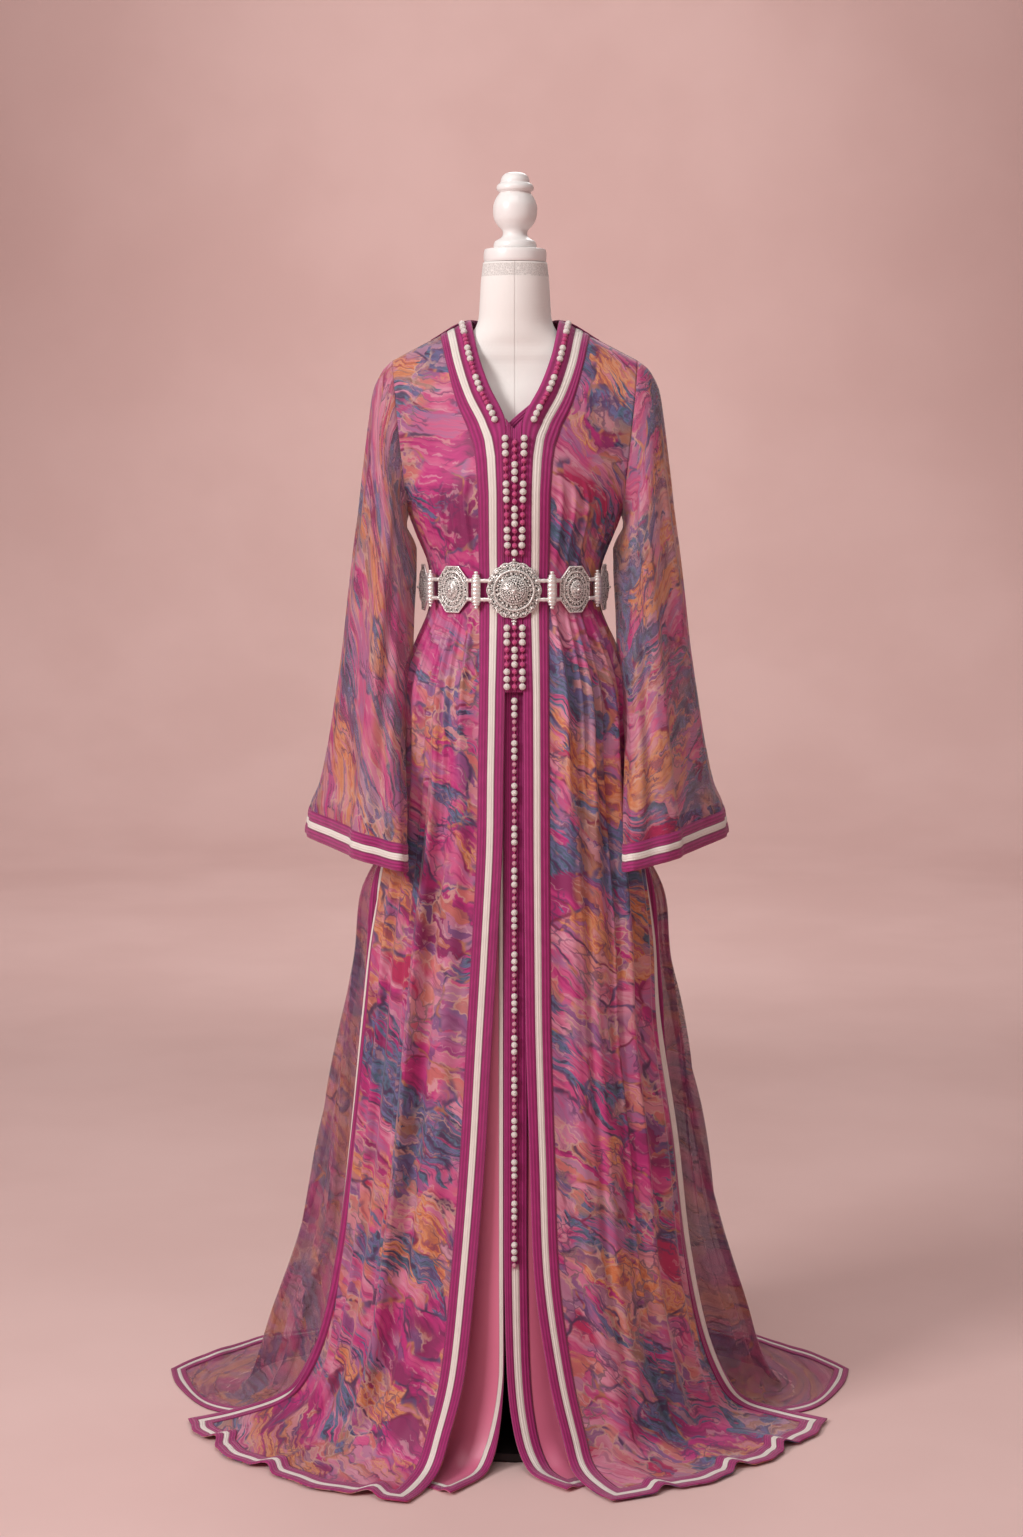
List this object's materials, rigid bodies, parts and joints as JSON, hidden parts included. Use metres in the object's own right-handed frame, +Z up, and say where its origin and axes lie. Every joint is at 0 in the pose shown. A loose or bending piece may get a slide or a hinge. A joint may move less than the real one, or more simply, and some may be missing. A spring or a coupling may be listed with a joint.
{
  "type": "moroccan kaftan on a limbless dress form",
  "caption": "Floor-length open kaftan with side slits over a sleeveless inner dress, braid bands, knot buttons and a plaque belt, on a limbless dress form with a stand.",
  "frame": {"origin": "centre of the underside of the stand's round base, on the floor", "axes": "+Z up, the garment's front faces -Y, +X is to the right of someone facing it"},
  "size_m": [1.059, 0.8027, 1.8118],
  "materials": {
    "jersey": "white stretch jersey",
    "painted_wood": "white satin paint",
    "printed_chiffon": "semi-sheer printed chiffon",
    "pink_satin": "soft satin",
    "magenta_braid": "ribbed braid with an ivory stripe",
    "knot_buttons": "knotted silk thread",
    "silver": "silver filigree"
  },
  "bodies": {
    "root": {"form_torso": "jersey", "form_neck_cap": "painted_wood", "form_finial": "painted_wood", "form_pole": "painted_wood", "form_base": "painted_wood", "outer_front_left": "printed_chiffon", "outer_front_right": "printed_chiffon", "outer_back": "printed_chiffon", "sleeve_left": "printed_chiffon", "sleeve_right": "printed_chiffon", "inner_front_left": "pink_satin", "inner_front_right": "pink_satin", "inner_back": "pink_satin", "braid_front_left": "magenta_braid", "braid_front_right": "magenta_braid", "braid_hem_left": "magenta_braid", "braid_hem_right": "magenta_braid", "braid_slit_left": "magenta_braid", "braid_slit_right": "magenta_braid", "braid_back_left": "magenta_braid", "braid_back_right": "magenta_braid", "braid_back_hem": "magenta_braid", "braid_back_neck": "magenta_braid", "braid_inner_left": "magenta_braid", "braid_inner_right": "magenta_braid", "braid_inner_hem_left": "magenta_braid", "braid_inner_hem_right": "magenta_braid", "braid_inner_back_hem": "magenta_braid", "braid_cuff_left": "magenta_braid", "braid_cuff_right": "magenta_braid", "placket": "magenta_braid", "buttons_neck_left": "knot_buttons", "buttons_neck_right": "knot_buttons", "buttons_left": "knot_buttons", "buttons_centre": "knot_buttons", "buttons_right": "knot_buttons", "buttons_lower_left": "knot_buttons", "buttons_lower_centre": "knot_buttons", "buttons_lower_right": "knot_buttons", "buttons_inner": "knot_buttons", "belt_medallion": "silver", "belt_plaque_1": "silver", "belt_plaque_2": "silver", "belt_plaque_3": "silver", "belt_plaque_4": "silver", "belt_plaque_5": "silver", "belt_plaque_6": "silver", "belt_plaque_7": "silver", "belt_plaque_8": "silver", "belt_spindle_1": "silver", "belt_spindle_2": "silver", "belt_spindle_3": "silver", "belt_spindle_4": "silver", "belt_spindle_5": "silver", "belt_spindle_6": "silver", "belt_spindle_7": "silver", "belt_spindle_8": "silver", "belt_spindle_9": "silver"}
  },
  "joints": []
}
